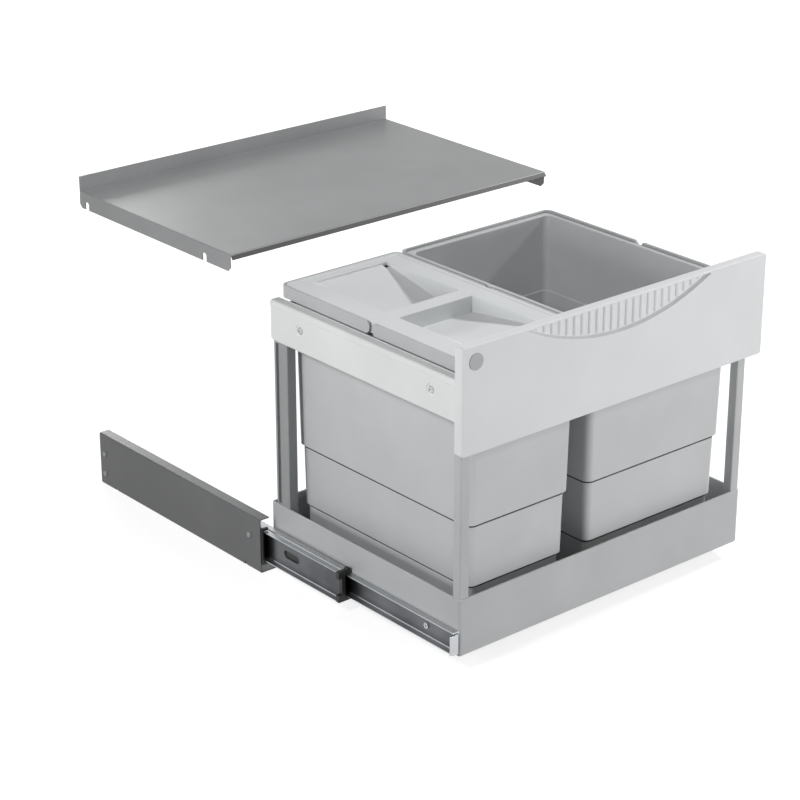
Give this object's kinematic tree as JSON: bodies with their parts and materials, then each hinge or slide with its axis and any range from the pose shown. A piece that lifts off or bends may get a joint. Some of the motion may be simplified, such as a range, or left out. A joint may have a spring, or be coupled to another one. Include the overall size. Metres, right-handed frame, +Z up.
{
  "type": "pull-out bin frame",
  "caption": "Pull-out bin frame for a base cabinet: steel tray on full-extension slides, posts, side panels, grip front, bins with bail handles, a lid and a cover shelf.",
  "frame": {"origin": "middle of the cabinet opening on the cabinet floor, level with the front edges of the side channels", "axes": "+X to the right seen from the front, +Y into the cabinet, +Z up; shown with the frame drawn out"},
  "size_m": [0.5664, 0.794, 0.464],
  "materials": {
    "channel_paint": "dark grey powder coat on folded steel sheet",
    "slide_steel": "bright zinc-plated roll-formed steel",
    "screw_steel": "zinc-plated steel",
    "stop_plastic": "black moulded plastic",
    "cover_paint": "mid grey powder coat on folded steel sheet",
    "tray_paint": "light grey powder coat on folded steel sheet",
    "panel_paint": "pale grey powder coat",
    "front_plastic": "pale grey moulded plastic, fine satin",
    "bin_plastic": "light grey moulded plastic, fine matte",
    "lid_plastic": "light grey moulded plastic, fine matte"
  },
  "bodies": {
    "cabinet_side": {"left_channel": "channel_paint", "left_cabinet_rail": "slide_steel", "left_rivet_front": "channel_paint", "left_rivet_back_high": "channel_paint", "left_rivet_back_low": "channel_paint", "left_rail_bumper": "stop_plastic", "right_channel": "channel_paint", "right_cabinet_rail": "slide_steel", "right_rivet_front": "channel_paint", "right_rivet_back_high": "channel_paint", "right_rivet_back_low": "channel_paint", "right_rail_bumper": "stop_plastic", "cover_shelf": "cover_paint"},
    "left_outer_cage_run": {"left_outer_cage": "slide_steel"},
    "left_middle_member": {"left_middle_rail": "slide_steel", "left_middle_stop": "stop_plastic"},
    "left_inner_cage_run": {"left_inner_cage": "slide_steel"},
    "right_outer_cage_run": {"right_outer_cage": "slide_steel"},
    "right_middle_member": {"right_middle_rail": "slide_steel", "right_middle_stop": "stop_plastic"},
    "right_inner_cage_run": {"right_inner_cage": "slide_steel"},
    "frame": {"tray": "tray_paint", "rear_bar": "tray_paint", "front_panel": "front_plastic", "left_tray_rail": "slide_steel", "left_rail_screw_front": "screw_steel", "left_rail_screw_back": "screw_steel", "left_side_bar": "tray_paint", "left_side_panel": "panel_paint", "left_panel_screw_front": "screw_steel", "left_panel_screw_back": "screw_steel", "right_tray_rail": "slide_steel", "right_rail_screw_front": "screw_steel", "right_rail_screw_back": "screw_steel", "right_side_bar": "tray_paint", "right_side_panel": "panel_paint", "right_panel_screw_front": "screw_steel", "right_panel_screw_back": "screw_steel", "front_left_post": "tray_paint", "rear_left_post": "tray_paint", "front_right_post": "tray_paint", "rear_right_post": "tray_paint", "front_screw_left_high": "screw_steel", "front_screw_left_low": "screw_steel", "front_screw_right_high": "screw_steel", "front_screw_right_low": "screw_steel"},
    "left_bin_body": {"left_bin": "bin_plastic"},
    "right_bin_body": {"right_bin": "bin_plastic"},
    "left_front_handle": {"left_bin_handle_front": "bin_plastic"},
    "left_back_handle": {"left_bin_handle_back": "bin_plastic"},
    "right_front_handle": {"right_bin_handle_front": "bin_plastic"},
    "right_back_handle": {"right_bin_handle_back": "bin_plastic"},
    "lid": {"left_bin_lid": "lid_plastic"}
  },
  "joints": [
    {"name": "frame_slide", "type": "slide", "parent": "cabinet_side", "child": "frame", "axis": [0, -1, 0], "range_m": [-0.374, 0]},
    {"name": "left_middle_slide", "type": "slide", "parent": "cabinet_side", "child": "left_middle_member", "axis": [0, -1, 0], "range_m": [-0.187, 0]},
    {"name": "left_outer_cage_slide", "type": "slide", "parent": "cabinet_side", "child": "left_outer_cage_run", "axis": [0, -1, 0], "range_m": [-0.0935, 0]},
    {"name": "left_inner_cage_slide", "type": "slide", "parent": "cabinet_side", "child": "left_inner_cage_run", "axis": [0, -1, 0], "range_m": [-0.2805, 0]},
    {"name": "right_middle_slide", "type": "slide", "parent": "cabinet_side", "child": "right_middle_member", "axis": [0, -1, 0], "range_m": [-0.187, 0]},
    {"name": "right_outer_cage_slide", "type": "slide", "parent": "cabinet_side", "child": "right_outer_cage_run", "axis": [0, -1, 0], "range_m": [-0.0935, 0]},
    {"name": "right_inner_cage_slide", "type": "slide", "parent": "cabinet_side", "child": "right_inner_cage_run", "axis": [0, -1, 0], "range_m": [-0.2805, 0]},
    {"name": "left_bin_lift", "type": "slide", "parent": "frame", "child": "left_bin_body", "axis": [0, 0, 1], "range_m": [0, 0.43]},
    {"name": "right_bin_lift", "type": "slide", "parent": "frame", "child": "right_bin_body", "axis": [0, 0, 1], "range_m": [0, 0.43]},
    {"name": "left_front_handle_hinge", "type": "hinge", "parent": "left_bin_body", "child": "left_front_handle", "pos_m": [-0.14, -0.198, 0.3995], "axis": [-1, 0, 0], "range_deg": [0, 88]},
    {"name": "left_back_handle_hinge", "type": "hinge", "parent": "left_bin_body", "child": "left_back_handle", "pos_m": [-0.14, -0.174, 0.3995], "axis": [1, 0, 0], "range_deg": [0, 88]},
    {"name": "right_front_handle_hinge", "type": "hinge", "parent": "right_bin_body", "child": "right_front_handle", "pos_m": [0.1015, -0.198, 0.3995], "axis": [-1, 0, 0], "range_deg": [0, 88]},
    {"name": "right_back_handle_hinge", "type": "hinge", "parent": "right_bin_body", "child": "right_back_handle", "pos_m": [0.1015, -0.174, 0.3995], "axis": [1, 0, 0], "range_deg": [0, 88]},
    {"name": "lid_lift", "type": "slide", "parent": "left_bin_body", "child": "lid", "axis": [0, 0, 1], "range_m": [0, 0.1]}
  ],
  "couplings": [
    {"joint": "left_middle_slide", "follows": "frame_slide", "ratio": 0.5},
    {"joint": "left_outer_cage_slide", "follows": "frame_slide", "ratio": 0.25},
    {"joint": "left_inner_cage_slide", "follows": "frame_slide", "ratio": 0.75},
    {"joint": "right_middle_slide", "follows": "frame_slide", "ratio": 0.5},
    {"joint": "right_outer_cage_slide", "follows": "frame_slide", "ratio": 0.25},
    {"joint": "right_inner_cage_slide", "follows": "frame_slide", "ratio": 0.75}
  ]
}
